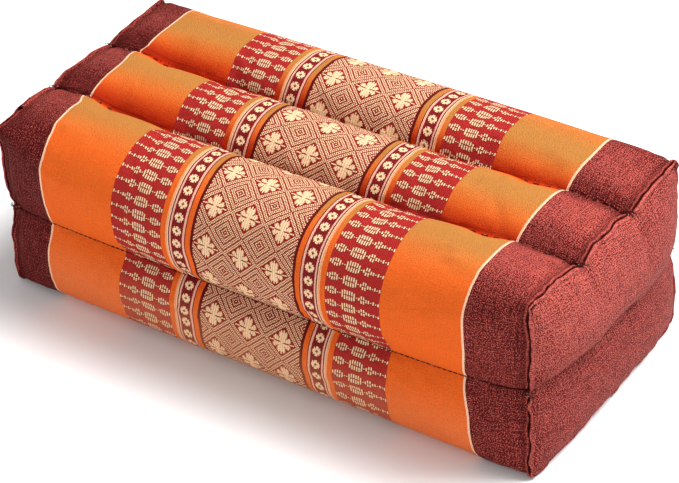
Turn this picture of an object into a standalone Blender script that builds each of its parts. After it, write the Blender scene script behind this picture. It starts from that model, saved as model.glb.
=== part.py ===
"""Long stuffed block cushion: a banded cloth sewn into three by two tubes, with an end panel sewn in at each end.

Metres, +Z up. X runs along the tubes, and the origin is on the floor under the middle of the cushion.
"""

import math

import bmesh
import bpy
from mathutils import Vector

# Overall sizes
LENGTH = 0.355
WIDTH = 0.180
HEIGHT = 0.119
SEAM_WIDTH = 0.158
SEAM_HEIGHT = 0.112
CHANNEL_OFFSET = 0.0267

# The end seam: two raised welts, one on the cover and one round the panel
PANEL_THICKNESS = 0.0020
SEAM_GAP = 0.0005
SEAM_ALLOWANCE = 0.0055
WELT_RISE = 0.0010

# The underside is flat over this share of the way out, then rises to clear the welts
FLOOR_REACH = 0.90
FLOOR_CLEARANCE = WELT_RISE

# Height of the waist, at the end seams and half way along
WAIST_HEIGHT = (0.0555, 0.0530)

# Radius of the long shoulders, at the end seams and half way along
TOP_SHOULDER_FRONT = (0.0040, 0.0340)
TOP_SHOULDER_BACK = (0.0040, 0.0270)
FLOOR_SHOULDER = (0.0040, 0.0200)

# The tubes stand higher towards the back: rise for each metre across
BACK_RISE = 0.035

# Depth of the sewn channels, at the end seams and half way along
TOP_CHANNEL = (0.0040, 0.0150)
WAIST_CHANNEL = (0.0045, 0.0120)
FLOOR_CHANNEL = (0.0030, 0.0080)

# How a tube's round side falls into a channel: the exponent and the share of its half width that shows
TUBE_ROUNDNESS = 2.4
TUBE_SHOWN = 0.91
FLOOR_TUBE_ROUNDNESS = 4.0
FLOOR_FLAT_DEPTH = 0.0012

# Bulge of the end panels: a shallow pillow, and on it a high upper tier and a lower one under the crease
PANEL_PILLOW = 0.0030
UPPER_BULGE = 0.0100
UPPER_PEAK = 0.30
UPPER_CLOSING = 0.8
LOWER_BULGE = 0.0078
LOWER_PEAK = 0.60
LOWER_CLOSING = 0.5
WAIST_PULL = 0.0030

# Share of the way out at which each row of faces starts, closer together beside a channel
MIDDLE_TUBE_ROWS = (0.0, 0.5, 0.82)
OUTER_TUBE_ROWS = (0.0, 0.08, 0.2, 0.36, 0.54, 0.7, 0.85)
TIER_ROWS = (0.0, 0.08, 0.2, 0.38, 0.58, 0.79)

# Distance in from the cover's end, and how far the cover's welt stands out there
COVER_STATIONS = (
    (0.0000, 0.2),
    (0.0008, 1.0),
    (0.0019, 1.0),
    (0.0030, 0.0),
    (0.0060, 0.0),
    (0.0115, 0.0),
    (0.0200, 0.0),
    (0.0310, 0.0),
    (0.0460, 0.0),
    (0.0660, 0.0),
    (0.0900, 0.0),
    (0.1170, 0.0),
    (0.1450, 0.0),
)

# Share of the panel's thickness, from its inner face, and how far its welt stands out there
PANEL_RIM = ((-1.0, 0.4), (0.0, 1.0), (1.0, 0.4))

# The seam's four upper corners sit unevenly: end, side, how far in, how far up
CORNER_SHIFTS = (
    (1, -1, 0.0000, 0.0030),
    (1, 1, 0.0000, 0.0005),
    (-1, -1, 0.0030, -0.0035),
    (-1, 1, 0.0000, 0.0025),
)
CORNER_FADE = 6

# Colours of the two cloths
COVER_COLOUR = (0.70, 0.19, 0.05, 1.0)
PANEL_COLOUR = (0.19, 0.035, 0.035, 1.0)
CLOTH_ROUGHNESS = 0.85

HALF_LENGTH = LENGTH / 2
COVER_END = HALF_LENGTH - PANEL_THICKNESS - SEAM_GAP
THIRD = 1 / 3


def clear_scene():
    """Remove every object that the file starts with."""
    for scene_object in list(bpy.data.objects):
        bpy.data.objects.remove(scene_object, do_unlink=True)


def cloth_material(name, colour):
    """A plain cloth finish."""
    material = bpy.data.materials.new(name)
    material.use_nodes = True
    shader = material.node_tree.nodes["Principled BSDF"]
    shader.inputs["Base Color"].default_value = colour
    shader.inputs["Roughness"].default_value = CLOTH_ROUGHNESS
    shader.inputs["Metallic"].default_value = 0.0
    return material


def between(low, high, share):
    return low + (high - low) * share


def along(x):
    """How far x is towards an end seam, from 0 half way along to 1 at the seam."""
    return min(abs(x) / (HALF_LENGTH - SEAM_ALLOWANCE), 1.0)


def side_fullness(x):
    """The sides swell soon after the seam and stay full over the middle."""
    return (1 - along(x) ** 2) ** 0.62


def crown_fullness(x):
    """The tops of the tubes reach their height close to the seam."""
    return (1 - along(x) ** 4) ** 0.6


def channel_fullness(x):
    """The channels deepen slowly towards the middle."""
    return 1 - along(x) ** 2


def floor_height(x):
    """The underside lies flat, and rises only close to the end seams."""
    return FLOOR_CLEARANCE * max((along(x) - FLOOR_REACH) / (1 - FLOOR_REACH), 0.0)


def channel_shape(distance, reach, roundness):
    """From 1 in the stitched bottom of a channel to 0 on the crown of the tube beside it."""
    inward = TUBE_SHOWN * (1 - min(abs(distance) / reach, 1.0))
    drop = 1 - (1 - inward**roundness) ** (1 / roundness)
    whole = 1 - (1 - TUBE_SHOWN**roundness) ** (1 / roundness)
    return drop / whole


def corner_shift(x, y, z):
    """How far the uneven corners of the end seam draw a point in, and up."""
    share = along(x) ** CORNER_FADE * min(abs(y) / (SEAM_WIDTH / 2), 1.0) ** 3 * z / SEAM_HEIGHT
    for end, side, inward, lift in CORNER_SHIFTS:
        if x * end > 0 and y * side > 0:
            return share * inward, share * lift
    return 0.0, 0.0


class Section:
    """The cushion cut across at x: a box with round shoulders, less its sewn channels."""

    def __init__(self, x):
        self.x = x
        self.half_width = between(SEAM_WIDTH, WIDTH, side_fullness(x)) / 2
        self.top = between(SEAM_HEIGHT, HEIGHT, crown_fullness(x))
        self.floor = floor_height(x)
        self.front_shoulder = between(*TOP_SHOULDER_FRONT, side_fullness(x))
        self.back_shoulder = between(*TOP_SHOULDER_BACK, side_fullness(x))
        self.floor_shoulder = between(*FLOOR_SHOULDER, side_fullness(x))
        fullness = channel_fullness(x)
        self.tilt = BACK_RISE * fullness
        self.waist = between(*WAIST_HEIGHT, fullness)
        self.top_channel = between(*TOP_CHANNEL, fullness)
        self.waist_channel = between(*WAIST_CHANNEL, fullness)
        self.floor_channel = between(*FLOOR_CHANNEL, fullness)

    def top_shoulder(self, side):
        """The upper shoulder's radius, in front where side is negative and at the back elsewhere."""
        return self.front_shoulder if side < 0 else self.back_shoulder

    def face_path(self, across, radius):
        """Distance out from the middle, and angle round the shoulder, for a row of the top or the floor."""
        if abs(across) <= THIRD:
            return abs(across) / THIRD * CHANNEL_OFFSET, 0.0
        flat = self.half_width - radius - CHANNEL_OFFSET
        travel = (abs(across) - THIRD) / (1 - THIRD) * (flat + radius * math.pi / 4)
        if travel <= flat:
            return CHANNEL_OFFSET + travel, 0.0
        angle = (travel - flat) / radius
        return self.half_width - radius + radius * math.sin(angle), angle

    def top_point(self, across):
        """A point of the tubes' tops, for across from -1 at the front shoulder to 1 at the back one."""
        radius = self.top_shoulder(across)
        out, angle = self.face_path(across, radius)
        height = self.top - radius + radius * math.cos(angle)
        height -= self.top_channel * channel_shape(out - CHANNEL_OFFSET, CHANNEL_OFFSET, TUBE_ROUNDNESS)
        return math.copysign(out, across), height

    def floor_point(self, across):
        """A point of the underside, flat where the tubes rest."""
        radius = self.floor_shoulder
        out, angle = self.face_path(across, radius)
        height = self.floor + radius - radius * math.cos(angle)
        rise = self.floor_channel * channel_shape(out - CHANNEL_OFFSET, CHANNEL_OFFSET, FLOOR_TUBE_ROUNDNESS)
        return math.copysign(out, across), height + max(rise - FLOOR_FLAT_DEPTH, 0.0)

    def side_point(self, side, up):
        """A point of the front or the back, for up from -1 at the floor's shoulder to 1 at the top's."""
        if up >= 0:
            radius = self.top_shoulder(side)
            flat = self.top - radius - self.waist
            direction = 1
        else:
            radius = self.floor_shoulder
            flat = self.waist - self.floor - radius
            direction = -1
        travel = abs(up) * (flat + radius * math.pi / 4)
        angle = max(travel - flat, 0.0) / radius
        out = self.half_width - radius + radius * math.cos(angle)
        height = self.waist + direction * (min(travel, flat) + radius * math.sin(angle))
        out -= self.waist_channel * channel_shape(height - self.waist, flat, TUBE_ROUNDNESS)
        return side * out, height

    def inside_point(self, across, up):
        """A point within the outline, blended from its four sides."""
        right, above = (across + 1) / 2, (up + 1) / 2
        blend = [0.0, 0.0]
        for axis in (0, 1):
            rows = between(self.floor_point(across)[axis], self.top_point(across)[axis], above)
            columns = between(self.side_point(-1, up)[axis], self.side_point(1, up)[axis], right)
            low = between(self.floor_point(-1)[axis], self.floor_point(1)[axis], right)
            high = between(self.top_point(-1)[axis], self.top_point(1)[axis], right)
            blend[axis] = rows + columns - between(low, high, above)
        return tuple(blend)

    def point(self, across, up, welt=0.0):
        """A point of the outline or within it: how far in its corner draws it, then y and z."""
        y, z = self.inside_point(across, up)
        rim = 1.0 if max(abs(across), abs(up)) > 0.999 else 0.0
        middle = (self.top + self.floor) / 2
        z += rim * welt * (z - middle) / (self.top - middle)
        y += rim * welt * y / self.half_width
        inward, lift = corner_shift(self.x, y, z)
        return inward, y, z + self.tilt * y * z / self.top + lift


def tier_bulge(height, peak, closing):
    """A tier's bulge, from 0 in the crease over 1 at its peak to 0 at the seam."""
    if height < peak:
        return math.sin(math.pi / 2 * (height / peak) ** 0.75)
    return max(1 - ((height - peak) / (1 - peak)) ** 2, 0.0) ** closing


def end_bulge(across, up):
    """How far an end panel stands out of its seam, upper tier over lower."""
    level = 1 - across**4
    pillow = PANEL_PILLOW * level * (1 - up**4)
    if up >= 0:
        tier = UPPER_BULGE * tier_bulge(up, UPPER_PEAK, UPPER_CLOSING)
    else:
        tier = LOWER_BULGE * tier_bulge(-up, LOWER_PEAK, LOWER_CLOSING)
    return pillow + tier * level**0.7


def waist_pull(x, across, up):
    """How far the stitching at the waist draws the end seam in towards the middle."""
    near_waist = max(1 - 2 * abs(up), 0.0) ** 2
    return WAIST_PULL * along(x) ** CORNER_FADE * across**2 * near_waist


def grid_block(length_cuts, width_cuts, height_cuts):
    """A cube from -1 to 1 with its faces cut into rows at the given places.

    The faces of its two ends are also split to their middles, so that a panel folds just as the stuffing under it.
    """
    mesh = bmesh.new()
    bmesh.ops.create_cube(mesh, size=2.0)
    for axis, cuts in enumerate((length_cuts, width_cuts, height_cuts)):
        normal = Vector((0.0, 0.0, 0.0))
        normal[axis] = 1.0
        for cut in cuts:
            everything = mesh.verts[:] + mesh.edges[:] + mesh.faces[:]
            bmesh.ops.bisect_plane(mesh, geom=everything, plane_co=normal * cut, plane_no=normal)
    ends = [face for face in mesh.faces if all(abs(vert.co.x) > 0.999 for vert in face.verts)]
    bmesh.ops.poke(mesh, faces=ends)
    return mesh


def width_rows():
    """Rows across the three tubes."""
    middle = [share * THIRD for share in MIDDLE_TUBE_ROWS]
    outer = [THIRD + share * (1 - THIRD) for share in OUTER_TUBE_ROWS]
    return sorted({side * row for row in middle + outer for side in (-1, 1)})


def height_rows():
    """Rows up the two tiers."""
    return sorted({side * row for row in TIER_ROWS for side in (-1, 1)})


def cover_rows():
    """Rows along the cover, from end to end, without the ends themselves."""
    rows = [1 - distance / COVER_END for distance, _ in COVER_STATIONS[1:]]
    return sorted({side * row for row in rows for side in (-1, 1)} | {0.0})


def cover_welt(x):
    """How far the cover's welt stands out at x."""
    distance = COVER_END - abs(x)
    for (near, near_rise), (far, far_rise) in zip(COVER_STATIONS, COVER_STATIONS[1:]):
        if distance <= far + 1e-6:
            return WELT_RISE * between(near_rise, far_rise, max(distance - near, 0.0) / (far - near))
    return 0.0


def finish_object(name, mesh, material, collection, parent):
    """Turn the finished mesh into a smooth-shaded object, with its faces pointing out."""
    bmesh.ops.triangulate(mesh, faces=mesh.faces[:], quad_method="SHORT_EDGE", ngon_method="BEAUTY")
    if mesh.calc_volume(signed=True) < 0:
        bmesh.ops.reverse_faces(mesh, faces=mesh.faces[:])
    data = bpy.data.meshes.new(name)
    mesh.to_mesh(data)
    mesh.free()
    data.shade_smooth()
    data.materials.append(material)
    cloth_object = bpy.data.objects.new(name, data)
    cloth_object.parent = parent
    collection.objects.link(cloth_object)
    return cloth_object


def woven_cover(material, collection, parent):
    """The filled cover: the banded cloth round the stuffing, with its channels, and the stuffing's two ends."""
    mesh = grid_block(cover_rows(), width_rows(), height_rows())
    for vert in mesh.verts:
        reach, across, up = vert.co
        x = reach * COVER_END
        inward, y, z = Section(x).point(across, up, cover_welt(x))
        bulge = end_bulge(across, up) if abs(reach) > 0.999 else 0.0
        out = abs(x) + bulge - waist_pull(x, across, up) - inward
        vert.co = (math.copysign(out, x), y, z)
    return finish_object("woven_cover", mesh, material, collection, parent)


def end_panel(name, end, material, collection, parent):
    """One end panel: a sheet over the stuffing's end, creased at the waist, with a welt round its rim."""
    mesh = grid_block([level for level, _ in PANEL_RIM[1:-1]], width_rows(), height_rows())
    section = Section(end * HALF_LENGTH)
    for vert in mesh.verts:
        level, across, up = vert.co
        welt = next(rise for place, rise in PANEL_RIM if abs(place - level) < 0.01)
        inward, y, z = section.point(across, up, welt * WELT_RISE)
        inward += (1 - level) / 2 * PANEL_THICKNESS + waist_pull(HALF_LENGTH, across, up)
        vert.co = (end * (end_bulge(across, up) - inward), y, z)
    panel = finish_object(name, mesh, material, collection, parent)
    panel.location.x = end * HALF_LENGTH
    return panel


def build():
    clear_scene()
    collection = bpy.data.collections.new("block_cushion")
    bpy.context.scene.collection.children.link(collection)
    cushion = bpy.data.objects.new("block_cushion_origin", None)
    collection.objects.link(cushion)
    cover_cloth = cloth_material("banded_cloth", COVER_COLOUR)
    panel_cloth = cloth_material("plain_cloth", PANEL_COLOUR)
    woven_cover(cover_cloth, collection, cushion)
    end_panel("end_panel_right", 1, panel_cloth, collection, cushion)
    end_panel("end_panel_left", -1, panel_cloth, collection, cushion)


build()
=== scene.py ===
"""A long block cushion in banded, patterned cloth: two tiers of stuffed tubes between two plain end panels.

Metres, +Z up, X along the tubes. The cloth has its own coordinates, in millimetres where a name or a
comment gives no unit: u runs along X and v round the tubes.
"""

import logging
import math
from collections.abc import Sequence
from dataclasses import dataclass, field
from enum import Enum

import bmesh
import bpy
from mathutils import Matrix, Vector, noise

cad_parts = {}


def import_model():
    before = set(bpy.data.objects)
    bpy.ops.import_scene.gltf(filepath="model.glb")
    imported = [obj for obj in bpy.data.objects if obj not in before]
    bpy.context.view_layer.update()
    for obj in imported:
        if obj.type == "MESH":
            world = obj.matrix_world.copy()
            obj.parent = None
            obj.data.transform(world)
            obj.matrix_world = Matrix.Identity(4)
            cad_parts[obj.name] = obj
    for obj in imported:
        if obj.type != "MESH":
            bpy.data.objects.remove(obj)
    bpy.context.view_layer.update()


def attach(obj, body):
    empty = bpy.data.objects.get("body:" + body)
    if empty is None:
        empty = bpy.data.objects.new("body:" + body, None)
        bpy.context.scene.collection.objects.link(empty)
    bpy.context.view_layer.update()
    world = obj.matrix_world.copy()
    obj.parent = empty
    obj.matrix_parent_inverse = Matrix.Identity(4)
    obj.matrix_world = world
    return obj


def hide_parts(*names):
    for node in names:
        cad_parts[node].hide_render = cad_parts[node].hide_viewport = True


log = logging.getLogger("cushion")

MM = 0.001
THIRD = 1 / 3

# Overall sizes, the same as the solids'
HALF_LENGTH = 0.1775
COVER_END = 0.1770
WIDTH = 0.180
HEIGHT = 0.119
SEAM_WIDTH = 0.158
SEAM_HEIGHT = 0.112
CHANNEL_OFFSET = 0.0267
SEAM_ALLOWANCE = 0.0055
FLOOR_REACH = 0.90
FLOOR_CLEARANCE = 0.0010
PANEL_THICKNESS = 0.0016

# Value at the end seams, and value half way along
WAIST_HEIGHT = (0.0555, 0.0530)
TOP_SHOULDER_FRONT = (0.0040, 0.0340)
TOP_SHOULDER_BACK = (0.0040, 0.0270)
FLOOR_SHOULDER = (0.0040, 0.0200)
WAIST_CHANNEL = (0.0030, 0.0125)
FLOOR_CHANNEL = (0.0030, 0.0080)

BACK_RISE = 0.035
SIDE_SWELL = 0.62
CROWN_SWELL = 0.6
TUBE_ROUNDNESS = 2.4
TUBE_SHOWN = 0.91
FLOOR_TUBE_ROUNDNESS = 4.0
FLOOR_FLAT_DEPTH = 0.0012
CORNER_FADE = 6

# Depth of the two sewn channels on top: x, depth
TOP_CHANNEL = (
    (-0.1750, 0.0028),
    (-0.1560, 0.0044),
    (-0.1250, 0.0120),
    (-0.0800, 0.0150),
    (0.0700, 0.0150),
    (0.1150, 0.0110),
    (0.1480, 0.0062),
    (0.1750, 0.0045),
)

# The seam's four upper corners: end, side, how far in, how far up
CORNER_SHIFTS = (
    (1, -1, 0.0000, 0.0030),
    (1, 1, 0.0000, 0.0005),
    (-1, -1, 0.0030, -0.0035),
    (-1, 1, 0.0000, 0.0025),
)

# Bulge of the end panels
PANEL_PILLOW = 0.0030
UPPER_BULGE = (0.0100, 0.30, 0.8)
LOWER_BULGE = (0.0066, 0.60, 0.5)
WAIST_PULL = 0.0022

# The cover's lip along the end seam: distance from the seam, and how far the cloth stands out there
LIP = (
    (0.00000, -0.0010),
    (0.00035, 0.0002),
    (0.00090, 0.0008),
    (0.00150, 0.0004),
    (0.00240, -0.0007),
    (0.00400, -0.0004),
    (0.00650, 0.0000),
)

# The panel's lip: distance in from the rim, how far out along X, and how far the rim stands out
PANEL_LIP = (
    (0.0000, -0.0003, -0.0007),
    (0.0005, -0.0001, 0.0005),
    (0.0011, 0.0005, 0.0006),
    (0.0017, 0.0005, 0.0001),
    (0.0026, -0.0006, -0.0003),
    (0.0044, -0.0004, -0.0002),
    (0.0070, 0.0000, 0.0000),
)

# The end seams' upper corners: how far they stand out in front and at the back, how far off
# that still shows, and which way they lean
EARS = (0.0024, 0.0006)
EAR_REACH = 0.0065
EAR_LEAN = (0.35, 0.6, 0.7)

# Waves of the end seam's line and of its gathered folds: size, waves per metre, place in the noise
WANDER_WAVES = ((0.0013, 50, 0.3), (0.0014, 160, 1.7))
PUCKER_WAVES = ((1.0, 190, 4.1), (0.5, 420, 7.7))

# How much deeper the folds are beside the waist, and how far from it
WAIST_PUCKER = (2.4, 0.012)

# How far from the end seam its shape, its wandering line and its corners' ears reach
SEAM_ZONE = 0.030
WANDER_FADE = 0.006
EAR_ZONE = 0.015

# A sharp crease along each top channel, deepest at the end seams: depth and half width
END_CREASE = (0.0022, 0.0022)

# Where the two top channels cross the cloth, in millimetres
CHANNEL_ROWS = (123.2, 185.9)


def between(low: float, high: float, share: float) -> float:
    """A value the given share of the way from low to high."""
    return low + (high - low) * share


def limited(value: float, low: float = 0.0, high: float = 1.0) -> float:
    """The value, kept from low to high."""
    return max(low, min(high, value))


def eased(share: float) -> float:
    """A smooth step from 0 to 1."""
    share = limited(share)
    return share * share * (3 - 2 * share)


def read_table(table: Sequence[tuple[float, float]], place: float) -> float:
    """The value of a table of (place, value) rows at a place, eased from row to row.

    Args:
        table: (place, value) rows, in order.
        place: where to read it.

    Returns:
        The value.
    """
    if place <= table[0][0]:
        return table[0][1]
    for (low, first), (high, second) in zip(table, table[1:]):
        if place <= high:
            return between(first, second, eased((place - low) / (high - low)))
    return table[-1][1]


def along(x: float) -> float:
    """How far x is towards an end seam, from 0 half way along to 1 at the seam."""
    return min(abs(x) / (HALF_LENGTH - SEAM_ALLOWANCE), 1.0)


def side_fullness(x: float) -> float:
    """The sides swell soon after the seam and stay full over the middle."""
    return (1 - along(x) ** 2) ** SIDE_SWELL


def crown_fullness(x: float) -> float:
    """The tops of the tubes reach their height close to the seam."""
    return (1 - along(x) ** 4) ** CROWN_SWELL


def channel_shape(distance: float, reach: float, roundness: float) -> float:
    """From 1 in the stitched bottom of a channel to 0 on the crown of the tube beside it.

    Args:
        distance: how far out of the bottom a point is.
        reach: how far the crown is.
        roundness: the power of the tube's outline.

    Returns:
        The share of the channel's depth.
    """
    inward = TUBE_SHOWN * (1 - min(abs(distance) / reach, 1.0))
    drop = 1 - (1 - inward**roundness) ** (1 / roundness)
    whole = 1 - (1 - TUBE_SHOWN**roundness) ** (1 / roundness)
    return drop / whole


def corner_shift(x: float, y: float, z: float) -> tuple[float, float]:
    """How far the uneven corners of the end seam draw a point in, and up.

    Args:
        x: the point's place along the tubes.
        y: across them.
        z: up.

    Returns:
        The two moves.
    """
    share = along(x) ** CORNER_FADE * min(abs(y) / (SEAM_WIDTH / 2), 1.0) ** 3 * z / SEAM_HEIGHT
    for end, side, inward, lift in CORNER_SHIFTS:
        if x * end > 0 and y * side > 0:
            return share * inward, share * lift
    return 0.0, 0.0


def ripple(waves: Sequence[tuple[float, float, float]], y: float, z: float) -> float:
    """The sum of noise waves, given as WANDER_WAVES is, at a place round the cushion."""
    return sum(size * noise.noise(Vector((y * rate, z * rate, start))) for size, rate, start in waves)


def seam_wander(y: float, z: float) -> float:
    """How far the end seam wanders along X at a place round the cushion."""
    return ripple(WANDER_WAVES, y, z)


def pucker(y: float, z: float) -> float:
    """Small folds where the seam gathers the cloth, about -1 to 1, and deeper beside the waist."""
    extra, reach = WAIST_PUCKER
    return (1 + extra * math.exp(-(((z - WAIST_HEIGHT[0]) / reach) ** 2))) * ripple(PUCKER_WAVES, y, z)


def corner_ear(place: Vector) -> Vector:
    """How far the gathered upper corners of the end seams stand out as small ears at a place.

    Args:
        place: a point of the cloth.

    Returns:
        The move.
    """
    move = Vector()
    for end in (-1, 1):
        section = Section(end * HALF_LENGTH)
        for side in (-1, 1):
            size = EARS[0] if side < 0 else EARS[1]
            near = math.exp(-(((place - section.point(side, 1)).length / EAR_REACH) ** 2))
            move += Vector((end * EAR_LEAN[0], side * EAR_LEAN[1], EAR_LEAN[2])) * size * near
    return move


def waist_pull(x: float, across: float, up: float) -> float:
    """How far the stitching at the waist draws the end seam in towards the middle."""
    near_waist = max(1 - 2 * abs(up), 0.0) ** 2
    return WAIST_PULL * along(x) ** CORNER_FADE * across**2 * near_waist


class Section:
    """The cushion cut across at x: a box with round shoulders, less its sewn channels."""

    def __init__(self, x: float) -> None:
        """Work out the section's sizes.

        Args:
            x: where the cushion is cut.
        """
        self.x = x
        fullness = 1 - along(x) ** 2
        self.half_width = between(SEAM_WIDTH, WIDTH, side_fullness(x)) / 2
        self.top = between(SEAM_HEIGHT, HEIGHT, crown_fullness(x))
        self.floor = FLOOR_CLEARANCE * max((along(x) - FLOOR_REACH) / (1 - FLOOR_REACH), 0.0)
        self.front_shoulder = between(*TOP_SHOULDER_FRONT, side_fullness(x))
        self.back_shoulder = between(*TOP_SHOULDER_BACK, side_fullness(x))
        self.floor_shoulder = between(*FLOOR_SHOULDER, side_fullness(x))
        self.tilt = BACK_RISE * fullness
        self.waist = between(*WAIST_HEIGHT, fullness)
        self.top_channel = read_table(TOP_CHANNEL, x)
        self.waist_channel = between(*WAIST_CHANNEL, fullness)
        self.floor_channel = between(*FLOOR_CHANNEL, fullness)

    def top_shoulder(self, side: float) -> float:
        """The upper shoulder's radius, in front where side is negative."""
        return self.front_shoulder if side < 0 else self.back_shoulder

    def face_path(self, across: float, radius: float) -> tuple[float, float]:
        """Distance out from the middle, and angle round the shoulder, for a row of the top or the floor.

        Args:
            across: from -1 at the front shoulder to 1 at the back one.
            radius: the shoulder's radius.

        Returns:
            The distance and the angle.
        """
        if abs(across) <= THIRD:
            return abs(across) / THIRD * CHANNEL_OFFSET, 0.0
        flat = self.half_width - radius - CHANNEL_OFFSET
        travel = (abs(across) - THIRD) / (1 - THIRD) * (flat + radius * math.pi / 4)
        if travel <= flat:
            return CHANNEL_OFFSET + travel, 0.0
        angle = (travel - flat) / radius
        return self.half_width - radius + radius * math.sin(angle), angle

    def top_point(self, across: float) -> tuple[float, float]:
        """A point of the tubes' tops, for across from -1 at the front shoulder to 1 at the back one.

        Args:
            across: the place.

        Returns:
            The point's y and z.
        """
        radius = self.top_shoulder(across)
        out, angle = self.face_path(across, radius)
        height = self.top - radius + radius * math.cos(angle)
        height -= self.top_channel * channel_shape(out - CHANNEL_OFFSET, CHANNEL_OFFSET, TUBE_ROUNDNESS)
        depth, reach = END_CREASE
        height -= depth * along(self.x) ** 4 * math.exp(-abs(out - CHANNEL_OFFSET) / reach)
        return math.copysign(out, across), height

    def floor_point(self, across: float) -> tuple[float, float]:
        """A point of the underside, flat where the tubes rest.

        Args:
            across: from -1 at the front to 1 at the back.

        Returns:
            The point's y and z.
        """
        radius = self.floor_shoulder
        out, angle = self.face_path(across, radius)
        height = self.floor + radius - radius * math.cos(angle)
        rise = self.floor_channel * channel_shape(out - CHANNEL_OFFSET, CHANNEL_OFFSET, FLOOR_TUBE_ROUNDNESS)
        return math.copysign(out, across), height + max(rise - FLOOR_FLAT_DEPTH, 0.0)

    def side_point(self, side: float, up: float) -> tuple[float, float]:
        """A point of the front or the back, for up from -1 at the floor's shoulder to 1 at the top's.

        Args:
            side: -1 for the front, 1 for the back.
            up: the place.

        Returns:
            The point's y and z.
        """
        if up >= 0:
            radius, direction = self.top_shoulder(side), 1
            flat = self.top - radius - self.waist
        else:
            radius, direction = self.floor_shoulder, -1
            flat = self.waist - self.floor - radius
        travel = abs(up) * (flat + radius * math.pi / 4)
        angle = max(travel - flat, 0.0) / radius
        out = self.half_width - radius + radius * math.cos(angle)
        height = self.waist + direction * (min(travel, flat) + radius * math.sin(angle))
        out -= self.waist_channel * channel_shape(height - self.waist, flat, TUBE_ROUNDNESS)
        return side * out, height

    def inside_point(self, across: float, up: float) -> tuple[float, float]:
        """A point of the outline or within it, blended from its four sides.

        Args:
            across: from -1 at the front to 1 at the back.
            up: from -1 at the floor to 1 at the top.

        Returns:
            The point's y and z.
        """
        right, above = (across + 1) / 2, (up + 1) / 2
        blend = []
        for axis in (0, 1):
            rows = between(self.floor_point(across)[axis], self.top_point(across)[axis], above)
            columns = between(self.side_point(-1, up)[axis], self.side_point(1, up)[axis], right)
            low = between(self.floor_point(-1)[axis], self.floor_point(1)[axis], right)
            high = between(self.top_point(-1)[axis], self.top_point(1)[axis], right)
            blend.append(rows + columns - between(low, high, above))
        return blend[0], blend[1]

    def point(self, across: float, up: float) -> Vector:
        """A point of the outline or within it, with the seam's uneven corners.

        Args:
            across: from -1 at the front to 1 at the back.
            up: from -1 at the floor to 1 at the top.

        Returns:
            The point.
        """
        y, z = self.inside_point(across, up)
        inward, lift = corner_shift(self.x, y, z)
        inward += waist_pull(self.x, across, up)
        return Vector((self.x - math.copysign(inward, self.x), y, z + self.tilt * y * z / self.top + lift))


class Tier(Enum):
    """The upper or the lower layer of tubes; its value is the direction from the waist."""

    UPPER = 1
    LOWER = -1


class ClothPath:
    """The way round one tier's section, from the front waist to the back one, at half way along."""

    SAMPLES = 240

    def __init__(self, tier: Tier) -> None:
        """Measure the path.

        Args:
            tier: the layer that it goes round.
        """
        up = tier.value
        steps = [step / self.SAMPLES for step in range(self.SAMPLES + 1)]
        front = [(-1.0, up * step) for step in steps]
        face = [(2 * step - 1, float(up)) for step in steps[1:-1]]
        back = [(1.0, up * step) for step in reversed(steps)]
        self.places = front + face + back
        middle = Section(0.0)
        points = [middle.point(*place) for place in self.places]
        self.lengths = [0.0]
        for first, second in zip(points, points[1:]):
            self.lengths.append(self.lengths[-1] + (second - first).length)
        self.girth = self.lengths[-1]
        self.channels = (self.length_at(-THIRD), self.length_at(THIRD))

    def length_at(self, across: float) -> float:
        """Length along the path to a place on the tubes' tops."""
        nearest = min(range(len(self.places)), key=lambda k: abs(self.places[k][0] - across))
        return self.lengths[nearest]

    def place(self, length: float) -> tuple[float, float]:
        """The (across, up) place at a length along the path.

        Args:
            length: measured from the front waist.

        Returns:
            The place.
        """
        length = limited(length, 0.0, self.girth)
        high = next(k for k, reached in enumerate(self.lengths) if reached >= length)
        low = max(high - 1, 0)
        span = self.lengths[high] - self.lengths[low] or 1.0
        share = (length - self.lengths[low]) / span
        first, second = self.places[low], self.places[high]
        return between(first[0], second[0], share), between(first[1], second[1], share)


def graded(low: float, high: float, fine: float, coarse: float, growth: float = 1.4) -> list[float]:
    """Places from low to high, fine steps apart at both ends and coarse ones between.

    Args:
        low: the first place.
        high: the last one.
        fine: the steps at the ends.
        coarse: the steps between.
        growth: each step's size over the one before it.

    Returns:
        The places, in order.
    """
    near = [0.0]
    step = fine
    while step < coarse and near[-1] + step < (high - low) / 2 - coarse:
        near.append(near[-1] + step)
        step *= growth
    left = high - low - 2 * near[-1]
    count = max(round(left / coarse), 1)
    middle = [near[-1] + left * k / count for k in range(1, count)]
    return [low + place for place in near + middle] + [high - place for place in reversed(near)]


Colour = tuple[float, float, float, float]

# Pitch of the threads in millimetres, and the cloths' shine, roughness and relief
WARP_PITCH = 0.9
WEFT_PITCH = 0.8
CLOTH_SHINE = 0.06
CLOTH_ROUGHNESS = 0.7
CLOTH_RELIEF = 0.00025


def srgb(red: int, green: int, blue: int) -> Colour:
    """A screen colour as the linear one that shaders take, by the usual screen curve."""
    parts = (red / 255, green / 255, blue / 255)
    linear = [((part + 0.055) / 1.055) ** 2.4 if part > 0.0404 else part / 12.92 for part in parts]
    return linear[0], linear[1], linear[2], 1.0


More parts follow.
